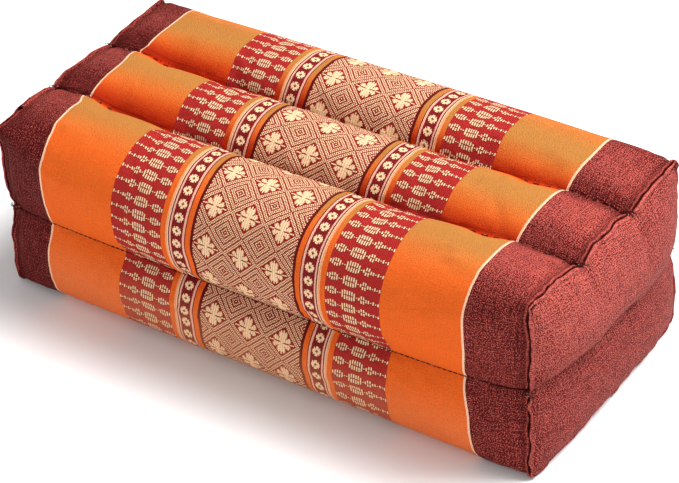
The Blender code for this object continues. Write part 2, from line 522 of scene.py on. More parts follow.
class Term:
    """A shader socket that takes part in Python arithmetic; each operation adds one Math node."""

    def __init__(self, graph: "Graph", socket: bpy.types.NodeSocket) -> None:
        """Wrap a socket of a graph."""
        self.graph = graph
        self.socket = socket

    def math(self, operation: str, *operands: "Term | float") -> "Term":
        """The result of a Math node over the operands."""
        node = self.graph.node("ShaderNodeMath", {"operation": operation}, dict(enumerate(operands)))
        return Term(self.graph, node.outputs[0])

    def __add__(self, other: "Term | float") -> "Term":
        """The sum."""
        return self.math("ADD", self, other)

    __radd__ = __add__

    def __sub__(self, other: "Term | float") -> "Term":
        """The difference."""
        return self.math("SUBTRACT", self, other)

    def __rsub__(self, other: float) -> "Term":
        """The difference, from a number."""
        return self.math("SUBTRACT", other, self)

    def __mul__(self, other: "Term | float") -> "Term":
        """The product."""
        return self.math("MULTIPLY", self, other)

    __rmul__ = __mul__

    def __truediv__(self, other: "Term | float") -> "Term":
        """The quotient."""
        return self.math("DIVIDE", self, other)

    def __rpow__(self, other: float) -> "Term":
        """A number raised to this power."""
        return self.math("POWER", other, self)

    def __mod__(self, other: float) -> "Term":
        """The remainder, never negative."""
        return self.math("FLOORED_MODULO", self, other)

    def __gt__(self, other: "Term | float") -> "Term":
        """1 where this is greater."""
        return self.math("GREATER_THAN", self, other)

    def __lt__(self, other: "Term | float") -> "Term":
        """1 where this is less."""
        return self.math("LESS_THAN", self, other)

    def __abs__(self) -> "Term":
        """The value without its sign."""
        return self.math("ABSOLUTE", self)

    def floor(self) -> "Term":
        """The whole number below."""
        return self.math("FLOOR", self)

    def wave(self, pitch: float) -> "Term":
        """A sine wave of this pitch."""
        return self.math("SINE", self * (2 * math.pi / pitch))

    def equals(self, other: float) -> "Term":
        """1 where a whole number is this one."""
        return self.math("COMPARE", self, other, 0.25)

    def clamped(self) -> "Term":
        """The value, kept from 0 to 1."""
        return self.math("MINIMUM", self.math("MAXIMUM", self, 0.0), 1.0)

    def rounded_step(self, low: float, high: float) -> "Term":
        """A soft step from 0 at low to 1 at high.

        Args:
            low: where it starts.
            high: where it is full.

        Returns:
            The step.
        """
        settings = {"interpolation_type": "SMOOTHSTEP"}
        node = self.graph.node("ShaderNodeMapRange", settings, {0: self, 1: low, 2: high, 3: 0.0, 4: 1.0})
        return Term(self.graph, node.outputs[0])


class Graph:
    """The shader nodes of one new material."""

    def __init__(self, name: str) -> None:
        """Start an empty material.

        Args:
            name: the material's name.
        """
        self.material = bpy.data.materials.new(name)
        self.material.use_nodes = True
        self.tree = self.material.node_tree
        self.tree.nodes.clear()

    def node(
        self, kind: str, settings: dict[str, object] | None = None, inputs: dict | None = None
    ) -> bpy.types.Node:
        """A new node.

        Args:
            kind: the node's type.
            settings: its properties, set before its sockets.
            inputs: a value, a Term or a socket for each input, by its name or place.

        Returns:
            The node.
        """
        node = self.tree.nodes.new(kind)
        for name, setting in (settings or {}).items():
            setattr(node, name, setting)
        for key, value in (inputs or {}).items():
            if isinstance(value, Term):
                self.tree.links.new(value.socket, node.inputs[key])
            elif isinstance(value, bpy.types.NodeSocket):
                self.tree.links.new(value, node.inputs[key])
            else:
                node.inputs[key].default_value = value
        return node

    def mix(self, share: Term, first: object, second: object) -> bpy.types.NodeSocket:
        """Colour going from the first to the second with the share."""
        node = self.node("ShaderNodeMix", {"data_type": "RGBA"}, {"Factor": share, "A": first, "B": second})
        return node.outputs["Result"]

    def uv(self, name: str) -> tuple[Term, Term]:
        """The two coordinates of a UV map, in millimetres.

        Args:
            name: the map's name.

        Returns:
            The coordinates.
        """
        place = self.node("ShaderNodeUVMap", {"uv_map": name})
        parts = self.node("ShaderNodeSeparateXYZ", None, {0: place.outputs[0]})
        return Term(self, parts.outputs[0]) * 1000, Term(self, parts.outputs[1]) * 1000

    def noise(self, across: Term, along_: Term, detail: float = 2.0) -> Term:
        """Noise over two coordinates, about 0.5.

        Args:
            across: the first coordinate.
            along_: the second one.
            detail: the number of finer layers.

        Returns:
            The noise.
        """
        place = self.node("ShaderNodeCombineXYZ", None, {0: across, 1: along_})
        inputs = {"Vector": place.outputs[0], "Scale": 1.0, "Detail": detail}
        node = self.node("ShaderNodeTexNoise", {"noise_dimensions": "2D"}, inputs)
        return Term(self, node.outputs["Fac"])

    def finish(
        self,
        colour: object,
        height: Term,
        depth: float = CLOTH_RELIEF,
        roughness: float = CLOTH_ROUGHNESS,
        shine: float = CLOTH_SHINE,
    ) -> bpy.types.Material:
        """A Principled shader of this colour over a bump.

        Args:
            colour: the base colour's socket.
            height: the bump's height, about 1.
            depth: how deep that is in metres.
            roughness: how matt the surface is.
            shine: how strongly it mirrors, 0.5 for most things.

        Returns:
            The finished material.
        """
        bump = self.node("ShaderNodeBump", None, {"Strength": 1.0, "Distance": depth, "Height": height})
        inputs = {"Base Color": colour, "Roughness": roughness, "Specular IOR Level": shine}
        shader = self.node("ShaderNodeBsdfPrincipled", None, inputs | {"Normal": bump.outputs[0]})
        self.node("ShaderNodeOutputMaterial", None, {0: shader.outputs[0]})
        return self.material


def plain_weave(u: Term, v: Term) -> Term:
    """The fine over and under of the threads, about 0."""
    return u.wave(WARP_PITCH) * v.wave(WEFT_PITCH)


def chambray(graph: Graph, u: Term, v: Term) -> Term:
    """How much of the pale thread shows, about 0, over a plain cloth of one dark and one pale thread.

    Args:
        graph: the material's nodes.
        u: the cloth's first coordinate.
        v: its second one.

    Returns:
        More than 0 where the pale thread shows.
    """
    speckle = (graph.noise(u * 1.5, v * 1.5, 2.0) - 0.5) * 8.0
    threads = (graph.noise(u * 1.7, v * 0.08) + graph.noise(u * 0.08, v * 1.7) - 1.0) * 2.0
    slub = (graph.noise(u * 1.1, v * 0.012) - 0.64).clamped() * 3
    return speckle + threads + slub


@dataclass(frozen=True)
class Chart:
    """A weaving chart: rows of cells, raised where marked, folded about its first row and column."""

    rows: tuple[str, ...]
    piece: int = 15

    def raised(self, graph: Graph, column: Term, row: Term) -> Term:
        """1 where the cell at a whole column and row is marked.

        Args:
            graph: the material's nodes.
            column: the cell's column, from 0.
            row: its row, from 0.

        Returns:
            1 or 0.
        """
        total: Term | float = 0.0
        for start in range(0, len(self.rows[0]), self.piece):
            bits: Term | float = 0.0
            for number, marks in enumerate(self.rows):
                piece = marks[start : start + self.piece]
                packed = sum(1 << k for k, mark in enumerate(piece) if mark == "#")
                if packed:
                    bits = row.equals(number) * packed + bits
            shifted = (bits + 0.5) / (2 ** (column - start))
            inside = (column > start - 0.5) * (column < start + self.piece - 0.5)
            total = (shifted.floor() % 2) * inside + total
        return total


# A quarter of the flower in a diamond of the middle band
FLOWER = (
    "##.....####",
    "#######....",
    "########...",
    "###.####...",
    "####.##....",
    "####..#....",
    "####.......",
    "####.......",
    "#.#........",
    "#..........",
)

# Half a row of the side bands from its outer edge in: tail, small flower, long bead, larger flower
BEADS = (
    "######..###....####..##",
    "#.#.#####.######..#####",
    "......##..######..####.",
    "......##..######...##..",
    "...........####........",
)

# A quarter of the rosette in the narrow stripes
ROSETTE = ("..###", ".####", "####.", "##.#.", "##...")


# Cells in a repeat of the middle band, along and across it, and of the side bands and stripes
LATTICE_REPEAT = (30, 32)
SIDE_REPEAT = 13

# The middle band's diagonal rings, from the flower out to the small diamond between four flowers:
# the first ring's number, and whether each is raised
FIRST_RING = 10
RINGS = "...#.#..#.#..#.#..#..#"


def lattice_chart() -> Chart:
    """A quarter of the middle band's repeat: a flower inside diagonal rings that end in a small diamond.

    Returns:
        The chart, from the middle of the flower.
    """
    rows = []
    for row in range(LATTICE_REPEAT[1] // 2 + 1):
        marks = ""
        for column in range(LATTICE_REPEAT[0] // 2 + 1):
            ring = row + column
            if row < len(FLOWER) and column < len(FLOWER[0]) and ring <= FIRST_RING:
                marks += FLOWER[row][column]
            else:
                marks += RINGS[min(max(ring - FIRST_RING, 0), len(RINGS) - 1)]
        rows.append(marks)
    return Chart(tuple(rows))


@dataclass(frozen=True)
class BandedCloth:
    """The woven cloth of the cover: bands along the cloth, with raised cream patterns on the red ones."""

    orange: Colour = srgb(228, 98, 30)
    # A painted highlight for the orange on the lit crests
    crest_highlight: Colour = srgb(164, 122, 60)
    # A painted shade for the orange on the tubes' sides beside the grooves
    groove_shade: Colour = srgb(180, 44, 8)
    cream: Colour = srgb(250, 208, 164)
    float_gap_shade: Colour = srgb(108, 22, 20)
    red: Colour = srgb(188, 46, 42)
    brick: Colour = srgb(158, 32, 28)
    maroon: Colour = srgb(72, 8, 8)
    fleck: Colour = srgb(182, 82, 73)
    dark: Colour = srgb(92, 16, 14)
    deep: Colour = srgb(64, 10, 10)
    peach: Colour = srgb(236, 160, 112)
    pale: Colour = srgb(236, 170, 148)
    line: Colour = srgb(244, 194, 160)
    stripe: Colour = srgb(134, 28, 30)

    # The charts' cells in millimetres, and where a flower's and a bead's middle lie
    lattice_pitch: tuple[float, float] = (0.7467, 0.7575)
    row_pitch: float = 0.6215
    stroke_pitch: float = 1.526
    rosette_pitch: float = 0.63
    flower_place: tuple[float, float] = (-1.5, 39.7)
    row_start: float = 66.4
    rosette_middle: float = 43.35

    # Distances from the middle, in millimetres, at which the patterned bands start and stop
    lattice_end: float = 32.5
    rosettes: tuple[float, float] = (39.5, 47.2)
    beads: tuple[float, float] = (54.3, 89.4)
    orange_end: float = 140.4
    plain_start: float = 142.0

    # Diagonal lines of the twill and ribs along the rows, in millimetres
    twill_pitch: float = 1.6
    twill_slope: float = 1.1
    rib_pitch: float = 0.62

    # How far the dark side of a raised float reaches along and across, in millimetres
    float_shadow: tuple[float, float] = (0.25, 0.35)

    # Where the cloth is paler on the seam's lip, and where painted shade darkens it beside the lip and in
    # the seam
    pale_lip: tuple[float, float] = (175.4, 176.2)
    beside: tuple[float, float, float, float] = (169.5, 174.4, 174.7, 175.3)
    inside: tuple[float, float] = (176.4, 176.8)
    # Half width of the painted shade along each channel's crease
    crease_half: float = 0.9

    # Where a highlight is painted on the lit crests, and shade is painted on the tubes' sides beside the
    # grooves: four places of v for each
    LIT_CRESTS = ((62.0, 98.0, 112.0, 121.0), (132.0, 160.0, 172.0, 181.0), (190.0, 214.0, 218.0, 262.0))
    SHADED_GROOVE_SIDES = ((118.0, 122.0, 124.0, 146.0), (180.0, 183.0, 185.0, 204.0))

    def rise(self, place: Term, ranges: Sequence[tuple[float, float, float, float]]) -> Term:
        """A hump for each range of places.

        Args:
            place: the place on the cloth.
            ranges: where each hump starts, is full, starts to fall and stops.

        Returns:
            From 0 to 1.
        """
        total: Term | float = 0.0
        for start, full, still, stop in ranges:
            total = place.rounded_step(start, full) * (1 - place.rounded_step(still, stop)) + total
        return total

    def bands(self) -> list[tuple[float, tuple]]:
        """The outer edge of each band from the middle out, in millimetres, and the colour beyond it.

        Returns:
            The (edge, colour) pairs.
        """
        return [
            (self.lattice_end, self.dark),
            (34.3, self.orange),
            (37.5, self.dark),
            (38.1, self.pale),
            (self.rosettes[0], self.stripe),
            (self.rosettes[1], self.pale),
            (48.3, self.deep),
            (49.0, self.line),
            (49.6, self.peach),
            (51.0, self.orange),
            (self.beads[0], self.red),
            (self.beads[1], self.orange),
            (self.orange_end, self.line),
            (141.8, self.maroon),
        ]

    def folded(self, place: Term, start: float, pitch: float, repeat: int) -> Term:
        """The cell of a mirrored repeat that a place lies in, counted from its middle cell.

        Args:
            place: a place on the cloth.
            start: the middle of the middle cell.
            pitch: a cell's size.
            repeat: how many cells a repeat has.

        Returns:
            The cell's number, never negative.
        """
        half = repeat // 2
        cell = ((place - start) / pitch + 0.5).floor()
        return abs((cell + half) % repeat - half)

    def pattern(self, graph: Graph, column: Term, row: Term, edge: Term) -> Term:
        """1 where a cream float covers the bands, for a place on the cloth in millimetres.

        Args:
            graph: the material's nodes.
            column: the place along the cloth.
            row: the place round it.
            edge: the place along it that the bands' edges go by.

        Returns:
            1 or 0.
        """
        out = abs(column)
        lattice = lattice_chart().raised(graph, *self.lattice_cell(column, row))
        side_row = self.folded(row, self.row_start, self.row_pitch, SIDE_REPEAT)
        beads = Chart(BEADS).raised(graph, ((self.beads[1] - out) / self.stroke_pitch).floor(), side_row)
        across = abs(((out - self.rosette_middle) / self.rosette_pitch + 0.5).floor())
        rosettes = Chart(ROSETTE).raised(graph, across, side_row)
        lattice = lattice * (edge < self.lattice_end)
        beads = beads * (edge > self.beads[0]) * (edge < self.beads[1])
        return lattice + beads + rosettes * (edge > self.rosettes[0]) * (edge < self.rosettes[1])

    def lattice_cell(self, column: Term, row: Term) -> tuple[Term, Term]:
        """The middle band's cell, as (column, row), that a place lies in."""
        starts, pitches = self.flower_place, self.lattice_pitch
        places = zip((column, row), starts, pitches, LATTICE_REPEAT)
        return tuple(self.folded(*place) for place in places)

    def strand(self, column: Term, row: Term) -> Term:
        """How far a place lies into the painted shade in the gap between two floats that run side by side.

        Args:
            column: the place along the cloth.
            row: the place round it.

        Returns:
            From 0 to 1.
        """
        out = abs(column)
        across, down = self.lattice_cell(column, row)
        in_flower = (across + down < FIRST_RING + 1.5) * (out < self.lattice_end)
        lattice = abs((column - self.flower_place[0]) / self.lattice_pitch[0] / 2 % 1 - 0.5)
        beads = abs((self.beads[1] - out) / self.stroke_pitch % 1 - 0.5)
        near = (0.5 - lattice) * 0.62 * in_flower + beads * (out > self.beads[0])
        return near.rounded_step(0.18, 0.40)

    def material(self) -> bpy.types.Material:
        """The cloth's material.

        Returns:
            The finished material.
        """
        graph = Graph("banded_cloth_weave")
        u, v = graph.uv("cloth")
        wobble = (graph.noise(u * 0.02, v * 0.9) - 0.5) * 0.45
        edge = abs(u) + wobble
        # Painted shade: the orange deepens on the tubes' sides beside the grooves
        orange = graph.mix(self.rise(v, self.SHADED_GROOVE_SIDES), self.orange, self.groove_shade)
        # Painted highlight: the orange turns golden on the lit crests
        orange = graph.mix(self.rise(v, self.LIT_CRESTS) * 0.8, orange, self.crest_highlight)
        colour: object = self.brick
        for place, beyond in self.bands():
            colour = graph.mix(edge > place, colour, orange if beyond == self.orange else beyond)
        bead_start, bead_end = self.beads
        twill = (u + v * self.twill_slope).wave(self.twill_pitch) * 0.5 + 0.5
        in_stripe = (edge > self.rosettes[0]) * (edge < self.rosettes[1])
        patterned = (edge > bead_start) + (edge < self.lattice_end) * 0.9 + in_stripe
        hatch = twill * (edge < bead_end) * patterned
        colour = graph.mix(hatch.clamped() * 0.6, colour, self.dark)
        row = v + (graph.noise(u * 0.9, v * 0.05) - 0.5) * 0.8
        column = u + (graph.noise(u * 0.05 + 9.0, v * 0.9) - 0.5) * 0.5
        raised = self.pattern(graph, column, row, edge)
        side, below = self.float_shadow
        shadow = (self.pattern(graph, column - side, row + below, edge) - raised).clamped()
        colour = graph.mix(shadow * 0.65, colour, self.dark)
        # Painted shade in the gaps between floats that run side by side
        gap = self.strand(column, row)
        cream = graph.mix(gap, self.cream, self.float_gap_shade)
        colour = graph.mix(raised, colour, cream)
        # Painted light: the lower tier's bands, short of the maroon ends, are brightened towards peach
        lift = (1 - v.rounded_step(-32.0, 2.0)) * (edge < self.orange_end)
        colour = graph.mix(lift * 0.2, colour, self.peach)
        plain = edge > self.plain_start
        streak = chambray(graph, u, v)
        # Painted highlight: more pale fleck on the lit crests; painted shade: less of it on the left end and
        # on the back tube
        crest_light = self.rise(v, self.LIT_CRESTS)
        shaded = (u < -self.plain_start) * 0.5 + (v > 188.0) * 0.2
        paler = plain * (streak - 0.17 + crest_light * 0.86 - shaded)
        colour = graph.mix(paler.clamped(), colour, self.fleck)
        # Painted shade in the creases along the two top channels
        crease: Term | float = 0.0
        for place in CHANNEL_ROWS:
            crease = (1 - abs(v - place) / self.crease_half).clamped() + crease
        colour = graph.mix(crease * (plain * 0.5 + 0.35), colour, self.deep)
        colour = graph.mix(edge.rounded_step(*self.pale_lip) * 0.45, colour, self.fleck)
        # Painted shadow beside the seam's lip, and painted shade in the seam itself
        beside = self.rise(edge, (self.beside,))
        colour = graph.mix(beside * 0.45, colour, self.deep)
        colour = graph.mix(edge.rounded_step(*self.inside), colour, self.deep)
        weave = plain_weave(u, v)
        ribs = v.wave(self.rib_pitch) * graph.noise(u * 0.5, v * 0.2) * (edge < bead_end)
        shade = (0.08 + weave * 0.06 + ribs * 0.45 - streak * (plain * 0.25 + 0.11)).clamped()
        colour = graph.mix(shade, colour, self.deep)
        height = weave * 0.25 + raised * 0.8 - gap * raised * 0.5 + streak * 0.3
        return graph.finish(colour, height)


@dataclass(frozen=True)
class PlainCloth:
    """The plain maroon cloth of the end panels, woven from a dark and a paler thread.

    On this cloth u runs up the panel and v across it, from its middle.
    """

    thread: Colour = srgb(88, 13, 12)
    fleck: Colour = srgb(190, 92, 82)
    deep: Colour = srgb(60, 12, 14)

    # Distances from the middle up, and across, at which the lip is paler, and at which the seam is dark with
    # painted shade
    pale_lip: tuple[tuple[float, float], tuple[float, float]] = ((54.2, 55.0), (77.2, 78.0))
    inside: tuple[tuple[float, float], tuple[float, float]] = ((55.5, 55.8), (78.5, 78.8))
    crease_half: float = 1.1

    def material(self) -> bpy.types.Material:
        """The cloth's material.

        Returns:
            The finished material.
        """
        graph = Graph("plain_cloth_weave")
        u, v = graph.uv("cloth")
        streak = chambray(graph, u, v)
        lit = u.rounded_step(-8.0, 34.0) * (1 - v.rounded_step(-10.0, 70.0) * 0.6)
        colour = graph.mix((streak - 0.02 + lit * 0.52).clamped(), self.thread, self.fleck)
        # Painted shade along the waist crease, stronger towards the back
        crease = (1 - abs(u) / self.crease_half).clamped() * v.rounded_step(-60.0, 30.0)
        colour = graph.mix(crease * 0.9, colour, self.deep)
        # A paler lip, and painted shade in the seam
        for (up, across), strength, beyond in ((self.pale_lip, 0.45, self.fleck), (self.inside, 1.0, self.deep)):
            rim = abs(v).rounded_step(*across) + abs(u).rounded_step(*up)
            colour = graph.mix(rim.clamped() * strength, colour, beyond)
        weave = plain_weave(u, v)
        colour = graph.mix((0.08 + weave * 0.06 - streak * 0.3).clamped(), colour, self.deep)
        height = weave * 0.25 + streak * 0.3
        return graph.finish(colour, height)


@dataclass(frozen=True)
class Inflation:
    """Cloth under pressure from inside, held along its seams and channels."""

    pressure: float = 4.0
    frames: int = 20
    cap: float = 0.0012
    spare: float = 0.005
    quality: int = 6
    mass: float = 0.3
    stretch: float = 15
    shear: float = 5
    bending: float = 0.5

    def run(self, cloth: bpy.types.Object, held: Sequence[int]) -> None:
        """Inflate an object's mesh and keep the result.

        Args:
            cloth: the object, whose mesh changes.
            held: the points that stay where they are.
        """
        before = [vert.co.copy() for vert in cloth.data.vertices]
        group = cloth.vertex_groups.new(name="held")
        group.add(list(held), 1.0, "REPLACE")
        modifier = cloth.modifiers.new("inflate", "CLOTH")
        settings = modifier.settings
        settings.quality = self.quality
        settings.mass = self.mass
        settings.tension_stiffness = settings.compression_stiffness = self.stretch
        settings.shear_stiffness = self.shear
        settings.bending_stiffness = self.bending
        settings.use_pressure = True
        settings.uniform_pressure_force = self.pressure
        settings.shrink_min = -self.spare
        settings.vertex_group_mass = group.name
        settings.effector_weights.gravity = 0
        modifier.collision_settings.use_collision = False
        modifier.point_cache.frame_end = self.frames
        for frame in range(1, self.frames + 1):
            bpy.context.scene.frame_set(frame)
        evaluated = cloth.evaluated_get(bpy.context.evaluated_depsgraph_get())
        after = [vert.co.copy() for vert in evaluated.data.vertices]
        cloth.modifiers.remove(modifier)
        cloth.vertex_groups.remove(group)
        swelling = 0.0
        for vert, start, end in zip(cloth.data.vertices, before, after):
            move = end - start
            swelling += move.length
            if move.length > self.cap:
                move *= self.cap / move.length
            vert.co = start + move
        log.info("%s: mean move %.2f mm", cloth.name, swelling / len(before) * 1000)
        bpy.context.scene.frame_set(1)


def new_object(name: str, mesh: bmesh.types.BMesh) -> bpy.types.Object:
    """A smooth-shaded object from a finished bmesh.

    Args:
        name: the object's name.
        mesh: its mesh, which is freed.

    Returns:
        The object, in the scene.
    """
    data = bpy.data.meshes.new(name)
    mesh.to_mesh(data)
    mesh.free()
    data.shade_smooth()
    made = bpy.data.objects.new(name, data)
    bpy.context.scene.collection.objects.link(made)
    return made


def strip_grid(columns: Sequence[float], rows: Sequence[float]) -> tuple[bmesh.types.BMesh, dict]:
    """A flat grid with its points at the given columns and rows.

    Args:
        columns: first coordinates, in order.
        rows: second coordinates, in order.

    Returns:
        The mesh, and each vertex's own (column, row) pair.
    """
    mesh = bmesh.new()
    bmesh.ops.create_grid(mesh, x_segments=len(columns) - 1, y_segments=len(rows) - 1, size=1.0)
    places = {}
    for vert in mesh.verts:
        column = round((vert.co.x + 1) / 2 * (len(columns) - 1))
        row = round((vert.co.y + 1) / 2 * (len(rows) - 1))
        places[vert] = (columns[column], rows[row])
    return mesh, places


# Edges of the bands as sewn, for places round the cloth: v, then u of each edge, all in millimetres
CLOTH_END = 175.0
BAND_EDGES = (-140.3, -89.4, -32.5, 32.5, 89.4, 140.3)
BANDS_AS_SEWN = (
    (-48.0, (-142.0, -88.0, -29.0, 39.5, 94.5, 145.0)),
    (-20.0, (-144.7, -89.7, -30.7, 37.7, 92.7, 142.5)),
    (4.0, (-143.5, -89.0, -30.2, 37.5, 92.5, 138.0)),
    (26.0, (-141.5, -88.0, -29.5, 37.2, 92.2, 140.5)),
    (60.0, (-139.7, -86.7, -28.3, 36.7, 92.0, 141.0)),
    (100.0, (-143.3, -88.3, -31.5, 37.0, 91.5, 140.0)),
    (118.0, (-150.5, -89.0, -32.5, 37.0, 91.5, 138.5)),
    (127.0, (-148.5, -90.0, -33.0, 37.2, 91.2, 138.5)),
    (156.0, (-147.3, -91.3, -34.7, 37.7, 91.0, 139.3)),
    (183.0, (-154.5, -91.5, -35.0, 36.0, 90.5, 138.0)),
    (193.0, (-150.5, -92.0, -35.0, 35.0, 90.0, 138.0)),
    (215.0, (-148.0, -93.0, -35.3, 33.3, 89.3, 139.3)),
)


def woven_place(u: float, v: float) -> float:
    """Where along the straight cloth a sewn place lies; both in millimetres.

    Args:
        u: the place along the cushion.
        v: the place round it.

    Returns:
        The place on the cloth.
    """
    columns = range(len(BAND_EDGES))
    edges = [read_table([(row, places[k]) for row, places in BANDS_AS_SEWN], v) for k in columns]
    sewn = [-CLOTH_END, *edges, CLOTH_END]
    straight = [-CLOTH_END, *BAND_EDGES, CLOTH_END]
    for low, high, first, second in zip(sewn, sewn[1:], straight, straight[1:]):
        if u <= high:
            return between(first, second, (u - low) / (high - low))
    return u


@dataclass
class TierCushion:
    """One layer of three tubes, closed at the waist and at its two ends."""

    tier: Tier
    name: str
    coarse: float = 0.0036
    fine: float = 0.0007
    channel_step: float = 0.0014
    waist_gap: float = 0.0002
    start_in: float = 0.0010
    held_end: float = 0.0012
    held_row: float = 0.0008
    fold_depth: float = 0.0008
    fold_fade: float = 0.011
    cap_zone: float = 0.008
    inflation: Inflation = field(default_factory=Inflation)

    # The cloth's v at the front waist of the lower tier, how much shorter it is behind the back
    # channel, and over what length that comes about
    lower_start: float = 7.9
    back_shift: float = 5.5
    shift_length: float = 8.0

    # How far the pattern turns round the tubes for each millimetre along them
    skew: float = 0.02

    # On the baking map: its margin, the cloth's share of it, and the strip for the hidden faces
    bake_margin: float = 0.01
    bake_cloth: tuple[float, float] = (0.98, 0.95)
    bake_strip: tuple[float, float, float] = (0.5, 0.975, 0.02)

    def __post_init__(self) -> None:
        """Measure the way round the tier."""
        self.path = ClothPath(self.tier)

    def cloth_row(self, length: float) -> float:
        """The cloth's own v, in millimetres, for a length from the front waist.

        Args:
            length: the length in metres.

        Returns:
            The cloth's v.
        """
        if self.tier is Tier.UPPER:
            past = (length - self.path.channels[1]) * 1000 + self.shift_length / 2
            return length * 1000 - self.back_shift * eased(past / self.shift_length)
        return self.lower_start - length * 1000

    def rows(self) -> list[float]:
        """Lengths round the section at which the cloth has a row of points.

        Returns:
            The lengths, in order.
        """
        ends = [0.0, *self.path.channels, self.path.girth]
        places = [0.0]
        for low, high in zip(ends, ends[1:]):
            places += graded(low, high, self.channel_step, self.coarse, 1.35)[1:]
        return places

    def build(self, material: bpy.types.Material) -> bpy.types.Object:
        """The finished tier.

        Args:
            material: the cloth's.

        Returns:
            The tier's object.
        """
        columns = graded(-COVER_END, COVER_END, self.fine, self.coarse)
        rows = self.rows()
        mesh, places = strip_grid(columns, rows)
        cloth = mesh.loops.layers.uv.new("cloth")
        bake = mesh.loops.layers.uv.new("OFBake")
        for face in mesh.faces:
            for loop in face.loops:
                x, length = places[loop.vert]
                v = self.cloth_row(length)
                loop[cloth].uv = (woven_place(x * 1000, v) * MM, (v + self.skew * x * 1000) * MM)
                shares = ((x + COVER_END) / (2 * COVER_END), length / self.path.girth)
                width, height = self.bake_cloth
                loop[bake].uv = (
                    self.bake_margin + width * shares[0],
                    self.bake_margin + height * shares[1],
                )
        sections = {x: Section(x) for x in columns}
        turns = {length: self.path.place(length) for length in rows}
        for vert, (x, length) in places.items():
            vert.co = sections[x].point(*turns[length])
            if length in (rows[0], rows[-1]):
                vert.co.z += self.waist_gap * self.tier.value
        if self.tier is Tier.LOWER:
            bmesh.ops.reverse_faces(mesh, faces=mesh.faces[:])
        mesh.normal_update()
        held = []
        mesh.verts.index_update()
        for vert, (x, length) in places.items():
            if self.is_held(x, length):
                held.append(vert.index)
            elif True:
                vert.co -= vert.normal * self.start_in * (1 - along(x) ** 4)
        tier = new_object(self.name, mesh)
        self.inflation.run(tier, held)
        self.close(tier)
        tier.data.materials.append(material)
        return tier

    def is_held(self, x: float, length: float) -> bool:
        """Whether a point lies on a seam or in the bottom of a channel.

        Args:
            x: the point's place along the tubes.
            length: its length from the front waist.

        Returns:
            True there.
        """
        if abs(x) > COVER_END - self.held_end:
            return True
        seams = (0.0, *self.path.channels, self.path.girth)
        return any(abs(length - seam) < self.held_row for seam in seams)

    def close(self, tier: bpy.types.Object) -> None:
        """Subdivide the cloth, raise its seams, rest it on the floor and close its hidden faces.

        Args:
            tier: the object, whose mesh changes.
        """
        mesh = bmesh.new()
        mesh.from_mesh(tier.data)
        bmesh.ops.subdivide_edges(mesh, edges=mesh.edges[:], cuts=1, use_grid_fill=True, smooth=1.0)
        mesh.normal_update()
        for vert in mesh.verts:
            distance = COVER_END - abs(vert.co.x)
            if distance < SEAM_ZONE:
                x, y, z = vert.co
                fold = pucker(y, z) * math.exp(-distance / self.fold_fade)
                direction = Vector((0.0, vert.normal.y, vert.normal.z)).normalized()
                vert.co += direction * (read_table(LIP, distance) + self.fold_depth * fold)
                vert.co.x += seam_wander(y, z) * math.exp(-distance / WANDER_FADE)
                if distance < EAR_ZONE:
                    vert.co += corner_ear(Vector((x, y, z)))
            if vert.co.z < 0:
                vert.co.z = 0.0
        corners = [vert for vert in mesh.verts if len(vert.link_edges) == 2]
        for end in (-1, 1):
            pair = [vert for vert in corners if vert.co.x * end > 0]
            mesh.edges.new(pair)
        boundary = [edge for edge in mesh.edges if len(edge.link_faces) < 2]
        for end in (-1, 1):
            start = COVER_END - self.cap_zone
            cap = [edge for edge in boundary if all(vert.co.x * end > start for vert in edge.verts)]
            cap = [edge for edge in cap if self.in_cap(edge)]
            bmesh.ops.contextual_create(mesh, geom=cap)
        inner = [edge for edge in mesh.edges if len(edge.link_faces) < 2]
        bmesh.ops.contextual_create(mesh, geom=inner)
        bmesh.ops.recalc_face_normals(mesh, faces=mesh.faces[:])
        if mesh.calc_volume(signed=True) < 0:
            bmesh.ops.reverse_faces(mesh, faces=mesh.faces[:])
        bake = mesh.loops.layers.uv["OFBake"]
        width, start, height = self.bake_strip
        for face in mesh.faces:
            if len(face.verts) > 4:
                for loop in face.loops:
                    x, y, _ = loop.vert.co
                    loop[bake].uv = (self.bake_margin + width * (y + 0.1), start + height * abs(x))
        mesh.to_mesh(tier.data)
        mesh.free()

    def in_cap(self, edge: bmesh.types.BMEdge) -> bool:
        """Whether an edge of the open strip belongs to an end, not to the waist."""
        first, second = edge.verts
        return abs(first.co.x - second.co.x) < (second.co - first.co).length / 2


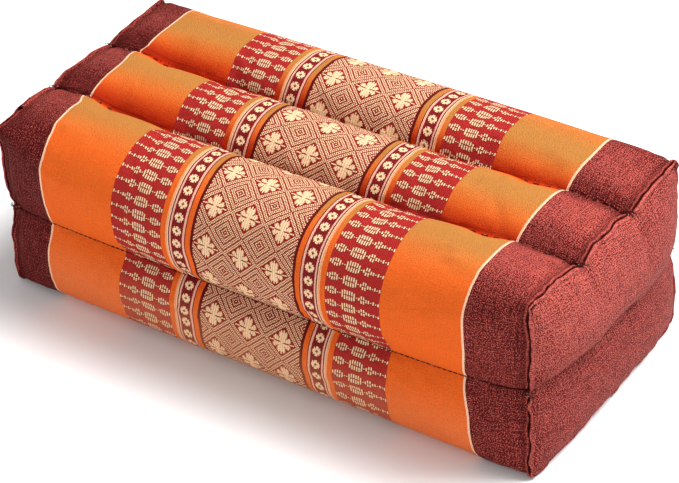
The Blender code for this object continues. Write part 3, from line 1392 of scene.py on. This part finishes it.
@dataclass
class EndPanel:
    """One end of the cushion: a sheet over the stuffing, creased at the waist and sewn in with a welt."""

    end: int
    name: str
    coarse: float = 0.0034
    fine: float = 0.0006
    inflation: Inflation = field(default_factory=lambda: Inflation(pressure=1.0, cap=0.0012, spare=0.0))
    fold_depth: float = 0.0006
    lip_fade: float = 0.004
    held_rim: float = 0.985
    held_crease: float = 0.004

    # How much of the lower bulge's start is filled in, from the front to the back, and where
    # across the panel that begins and how far on it is full
    crease_floor: float = 0.6
    crease_start: float = -0.1
    crease_run: float = 0.8

    def bulge(self, across: float, up: float) -> float:
        """How far the panel stands out of its seam, upper tier over lower.

        Args:
            across: from -1 at the front to 1 at the back.
            up: from -1 at the floor to 1 at the top.

        Returns:
            The distance in metres.
        """
        level = 1 - across**4
        shallow = self.crease_floor * eased((across - self.crease_start) / self.crease_run)
        size, peak, closing = UPPER_BULGE if up >= 0 else LOWER_BULGE
        height = abs(up)
        if height < peak:
            tier = shallow + (1 - shallow) * math.sin(math.pi / 2 * (height / peak) ** 0.75)
        else:
            tier = max(1 - ((height - peak) / (1 - peak)) ** 2, 0.0) ** closing
        return PANEL_PILLOW * level * (1 - up**4) + size * tier * level**0.7

    def build(self, material: bpy.types.Material) -> bpy.types.Object:
        """The finished panel.

        Args:
            material: the cloth's.

        Returns:
            The panel's object.
        """
        half_width, half_height = SEAM_WIDTH / 2, SEAM_HEIGHT / 2
        columns = [place / half_width for place in graded(-half_width, half_width, self.fine, self.coarse)]
        low = [place / half_height - 1 for place in graded(0.0, half_height, self.fine, self.coarse)]
        rows = low + [-place for place in reversed(low[:-1])]
        mesh, places = strip_grid(columns, rows)
        cloth = mesh.loops.layers.uv.new("cloth")
        section = Section(self.end * HALF_LENGTH)
        for face in mesh.faces:
            for loop in face.loops:
                across, up = places[loop.vert]
                loop[cloth].uv = (up * half_height, across * half_width)
        lips = {}
        for vert, (across, up) in places.items():
            point = section.point(across, up)
            point.x += self.end * self.bulge(across, up)
            vert.co = point
            lips[vert] = self.lip(across, up, point)
        if self.end < 0:
            bmesh.ops.reverse_faces(mesh, faces=mesh.faces[:])
        mesh.verts.index_update()
        held = [vert.index for vert, (across, up) in places.items() if self.is_held(across, up)]
        shifts = {vert.index: shift for vert, shift in lips.items()}
        panel = new_object(self.name, mesh)
        self.inflation.run(panel, held)
        mesh = bmesh.new()
        mesh.from_mesh(panel.data)
        for vert in mesh.verts:
            vert.co += shifts[vert.index]
        bmesh.ops.subdivide_edges(mesh, edges=mesh.edges[:], cuts=1, use_grid_fill=True, smooth=1.0)
        bmesh.ops.solidify(mesh, geom=mesh.faces[:], thickness=PANEL_THICKNESS)
        bmesh.ops.recalc_face_normals(mesh, faces=mesh.faces[:])
        mesh.to_mesh(panel.data)
        mesh.free()
        panel.data.materials.append(material)
        return panel

    def lip(self, across: float, up: float, point: Vector) -> Vector:
        """How far the seam's lip and its puckers move a point.

        Args:
            across: from -1 at the front to 1 at the back.
            up: from -1 at the floor to 1 at the top.
            point: the point before it moves.

        Returns:
            The move.
        """
        from_side = (1 - abs(across)) * SEAM_WIDTH / 2
        from_edge = (1 - abs(up)) * SEAM_HEIGHT / 2
        distance = min(from_side, from_edge)
        if distance > SEAM_ZONE:
            return Vector()
        sideways, upwards = math.exp(-from_side / self.lip_fade), math.exp(-from_edge / self.lip_fade)
        away = Vector((0.0, across * sideways, up * upwards))
        if away.length > 1:
            away.normalize()
        along_x = read_table([(row[0], row[1]) for row in PANEL_LIP], distance)
        outward = read_table([(row[0], row[2]) for row in PANEL_LIP], distance)
        fold = pucker(point.y, point.z) * math.exp(-distance / WANDER_FADE)
        wander = seam_wander(point.y, point.z) * math.exp(-distance / WANDER_FADE)
        shift = away * outward + Vector((self.end * (along_x + self.fold_depth * fold) + wander, 0.0, 0.0))
        return shift + corner_ear(point) if distance < EAR_ZONE else shift

    def is_held(self, across: float, up: float) -> bool:
        """Whether a point lies on the rim or in the crease."""
        return max(abs(across), abs(up)) > self.held_rim or abs(up) < self.held_crease


@dataclass
class Stitching:
    """The sewing thread: running stitches along the channels, and tacks where they meet the end seams."""

    name: str = "sewing_thread"
    thickness: float = 0.00036
    arch: float = 0.35
    arch_sides: int = 6
    arch_steps: int = 7

    # The stitches' pitch and length along the waist and along the channels, and how far from
    # the cushion's ends they stop
    waist_stitches: tuple[float, float] = (0.0034, 0.0018)
    channel_stitches: tuple[float, float] = (0.0075, 0.0034)
    end_gap: float = 0.008

    # The tacks: how far up at the left and the right end, how far in, and their crossing stitches'
    # angles in degrees, radius and its growth, spread along the seam and height over each other
    tack_lift: tuple[float, float] = (0.0006, 0.0020)
    tack_in: float = 0.0004
    tack_angles: tuple[float, ...] = (-64, -28, 12, 40, 76)
    tack_radius: tuple[float, float] = (0.0030, 0.0004)
    tack_spread: float = 0.0007
    tack_layer: float = 0.0001

    def build(self, material: bpy.types.Material) -> bpy.types.Object:
        """All the stitches as one piece.

        Args:
            material: the thread's.

        Returns:
            The thread's object.
        """
        arch = self.arch_mesh()
        mesh = bmesh.new()
        for across, up in ((-1, 0), (1, 0)):
            self.sew_channel(mesh, arch, (across, up), *self.waist_stitches)
        for up in (-1, 1):
            for across in (-THIRD, THIRD):
                self.sew_channel(mesh, arch, (across, up), *self.channel_stitches)
        for end in (-1, 1):
            for across, up in ((-THIRD, 1), (THIRD, 1), (-1, 0), (1, 0)):
                self.tack(mesh, arch, end, (across, up))
        bpy.data.meshes.remove(arch)
        thread = new_object(self.name, mesh)
        thread.data.materials.append(material)
        return thread

    def arch_mesh(self) -> bpy.types.Mesh:
        """Half a turn of thread round Y, of radius 1 along X, for every stitch to be scaled from.

        Returns:
            The mesh.
        """
        mesh = bmesh.new()
        bmesh.ops.create_circle(mesh, segments=self.arch_sides, radius=1.0, cap_ends=True)
        bmesh.ops.translate(mesh, verts=mesh.verts[:], vec=(1.0, 0.0, 0.0))
        turn = {"cent": (0, 0, 0), "axis": (0, -1, 0), "angle": math.pi, "steps": self.arch_steps}
        bmesh.ops.spin(mesh, geom=mesh.faces[:], **turn)
        bmesh.ops.recalc_face_normals(mesh, faces=mesh.faces[:])
        data = bpy.data.meshes.new("arch")
        mesh.to_mesh(data)
        mesh.free()
        return data

    def stitch(
        self, mesh: bmesh.types.BMesh, arch: bpy.types.Mesh, middle: Vector, run: Vector, out: Vector
    ) -> None:
        """Add one stitch: a thread that arches from hole to hole.

        Args:
            mesh: the mesh that takes it.
            arch: half a turn of thread.
            middle: the place under its middle.
            run: from its middle to one of its holes.
            out: the direction that it stands out in.
        """
        count = len(mesh.verts)
        mesh.from_mesh(arch)
        mesh.verts.ensure_lookup_table()
        verts = mesh.verts[count:]
        radius = run.length
        for vert in verts:
            ring = Vector((vert.co.x, 0.0, vert.co.z)).normalized()
            offset = vert.co - ring
            place = ring * radius + offset * self.thickness
            vert.co = (place.x, place.y, place.z * self.arch if place.z > 0 else place.z)
        side = out.cross(run).normalized()
        turn = Matrix((run.normalized(), side, out.normalized())).transposed().to_4x4()
        turn.translation = middle
        bmesh.ops.transform(mesh, verts=verts, matrix=turn)

    def outward(self, across: float, up: float) -> Vector:
        """The direction out of the cushion at a place on its outline."""
        return Vector((0.0, 0.0, up)) if up else Vector((0.0, across, 0.0))

    def tack(
        self, mesh: bmesh.types.BMesh, arch: bpy.types.Mesh, end: int, corner: tuple[float, float]
    ) -> None:
        """Crossing stitches where a channel meets the end seam.

        Args:
            mesh: the mesh that takes them.
            arch: half a turn of thread.
            end: 1 for the right end, -1 for the left.
            corner: the channel's (across, up) place.
        """
        place = Section(end * HALF_LENGTH).point(*corner)
        place.x += seam_wander(place.y, place.z) - end * self.tack_in
        out = self.outward(*corner)
        if corner[1]:
            place += out * self.tack_lift[0 if end < 0 else 1]
        along_x = Vector((1.0, 0.0, 0.0))
        along_seam = out.cross(along_x)
        for number, angle in enumerate(self.tack_angles):
            turned = math.radians(angle)
            radius = self.tack_radius[0] + self.tack_radius[1] * (number % 3)
            run = (along_x * math.cos(turned) + along_seam * math.sin(turned)) * radius
            shift = along_seam * self.tack_spread * (number % 3 - 1)
            self.stitch(mesh, arch, place + shift + out * (self.tack_layer * number), run, out)

    def sew_channel(
        self,
        mesh: bmesh.types.BMesh,
        arch: bpy.types.Mesh,
        row: tuple[float, float],
        pitch: float,
        length: float,
    ) -> None:
        """Running stitches along the bottom of one channel.

        Args:
            mesh: the mesh that takes them.
            arch: half a turn of thread.
            row: the channel's (across, up) place.
            pitch: from stitch to stitch.
            length: a stitch's length.
        """
        count = round(2 * (COVER_END - self.end_gap) / pitch)
        out = self.outward(*row)
        for number in range(count):
            x = (number + 0.5 - count / 2) * pitch
            place = Section(x).point(*row)
            self.stitch(mesh, arch, place, Vector((length / 2, 0.0, 0.0)), out)


@dataclass(frozen=True)
class SewingThread:
    """Dark red cotton thread, twisted."""

    colour: Colour = srgb(58, 12, 10)
    light: Colour = srgb(150, 84, 74)
    relief: float = 0.0001
    grain: float = 500.0

    def material(self) -> bpy.types.Material:
        """The thread's material.

        Returns:
            The finished material.
        """
        graph = Graph("sewing_thread_cotton")
        place = graph.node("ShaderNodeTexCoord")
        inputs = {"Vector": place.outputs["Object"], "Scale": self.grain}
        grain = graph.node("ShaderNodeTexNoise", None, inputs)
        twist = Term(graph, grain.outputs["Fac"])
        colour = graph.mix(twist.rounded_step(0.55, 0.66), self.colour, self.light)
        return graph.finish(colour, twist, self.relief)


@dataclass(frozen=True)
class Studio:
    """The camera, as it was fitted to the photograph, over a pale floor in soft light."""

    focal_pixels: float = 2400.0
    width_pixels: int = 679
    target: tuple[float, float, float] = (0.0090, -0.0062, 0.0500)
    azimuth: float = 36.60
    elevation: float = 35.45
    roll: float = -3.92
    distance: float = 1.3669
    key_place: tuple[float, float, float] = (0.9, 0.9, 2.0)
    key_power: float = 110.0
    fill_place: tuple[float, float, float] = (-0.6, -2.2, 0.25)
    fill_power: float = 24.0
    light_size: float = 1.5
    sky: float = 0.48
    sensor: float = 36.0
    floor_size: float = 6.0
    floor_tones: tuple[Colour, Colour] = ((0.93, 0.93, 0.93, 1.0), (0.96, 0.96, 0.96, 1.0))
    floor_roughness: float = 0.9
    floor_shine: float = 0.5
    floor_relief: float = 0.0001

    def build(self) -> None:
        """Add the camera, the floor and the lights."""
        self.add_camera()
        self.add_floor()
        self.add_light("key", self.key_place, self.key_power)
        self.add_light("fill", self.fill_place, self.fill_power)
        world = bpy.data.worlds.new("studio")
        bpy.context.scene.world = world
        world.use_nodes = True
        background = world.node_tree.nodes["Background"]
        background.inputs["Color"].default_value = (1.0, 1.0, 1.0, 1.0)
        background.inputs["Strength"].default_value = self.sky
        bpy.context.scene.view_settings.view_transform = "Standard"

    def add_camera(self) -> None:
        """Add the camera and look through it."""
        data = bpy.data.cameras.new("camera")
        data.sensor_width = self.sensor
        data.lens = self.focal_pixels / self.width_pixels * data.sensor_width
        camera = bpy.data.objects.new("camera", data)
        bpy.context.scene.collection.objects.link(camera)
        turn, rise = math.radians(self.azimuth), math.radians(self.elevation)
        out = Vector((math.sin(turn) * math.cos(rise), -math.cos(turn) * math.cos(rise), math.sin(rise)))
        right = (-out).cross(Vector((0, 0, 1))).normalized()
        up = right.cross(-out)
        tip = math.radians(self.roll)
        across = right * math.cos(tip) + up * math.sin(tip)
        upright = up * math.cos(tip) - right * math.sin(tip)
        turned = Matrix((across, upright, out)).transposed().to_4x4()
        turned.translation = Vector(self.target) + out * self.distance
        camera.matrix_world = turned
        bpy.context.scene.camera = camera

    def add_floor(self) -> None:
        """Add a wide pale floor."""
        mesh = bmesh.new()
        bmesh.ops.create_grid(mesh, x_segments=1, y_segments=1, size=self.floor_size)
        floor = new_object("floor", mesh)
        graph = Graph("floor_paper")
        place = graph.node("ShaderNodeTexCoord")
        grain = graph.node("ShaderNodeTexNoise", None, {"Vector": place.outputs["Object"], "Scale": 40.0})
        speckle = Term(graph, grain.outputs["Fac"])
        tone = graph.mix(speckle, *self.floor_tones)
        paper = graph.finish(tone, speckle, self.floor_relief, self.floor_roughness, self.floor_shine)
        floor.data.materials.append(paper)

    def add_light(self, name: str, place: tuple[float, float, float], power: float) -> None:
        """Add a square soft light that faces the cushion.

        Args:
            name: the light's name.
            place: where it stands.
            power: in watts.
        """
        data = bpy.data.lights.new(name, "AREA")
        data.size = self.light_size
        data.energy = power
        light = bpy.data.objects.new(name, data)
        bpy.context.scene.collection.objects.link(light)
        light.location = place
        light.rotation_euler = Vector(place).to_track_quat("Z", "Y").to_euler()


def main() -> None:
    """Build the cushion over its frame and put it in the studio."""
    logging.basicConfig(level=logging.INFO, format="%(message)s")
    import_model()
    Studio().build()
    banded = BandedCloth().material()
    plain = PlainCloth().material()
    for tier, name in ((Tier.UPPER, "cover_upper_tier"), (Tier.LOWER, "cover_lower_tier")):
        piece = TierCushion(tier, name).build(banded)
        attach(piece, "root")
        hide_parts("woven_cover")
        log.info("%s: %d faces", name, len(piece.data.polygons))
    for end, side in ((1, "right"), (-1, "left")):
        piece = EndPanel(end, f"panel_cloth_{side}").build(plain)
        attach(piece, "root")
        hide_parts(f"end_panel_{side}")
        log.info("%s: %d faces", piece.name, len(piece.data.polygons))
    thread = Stitching().build(SewingThread().material())
    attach(thread, "root")
    log.info("%s: %d faces", thread.name, len(thread.data.polygons))


if __name__ == "__main__":
    main()
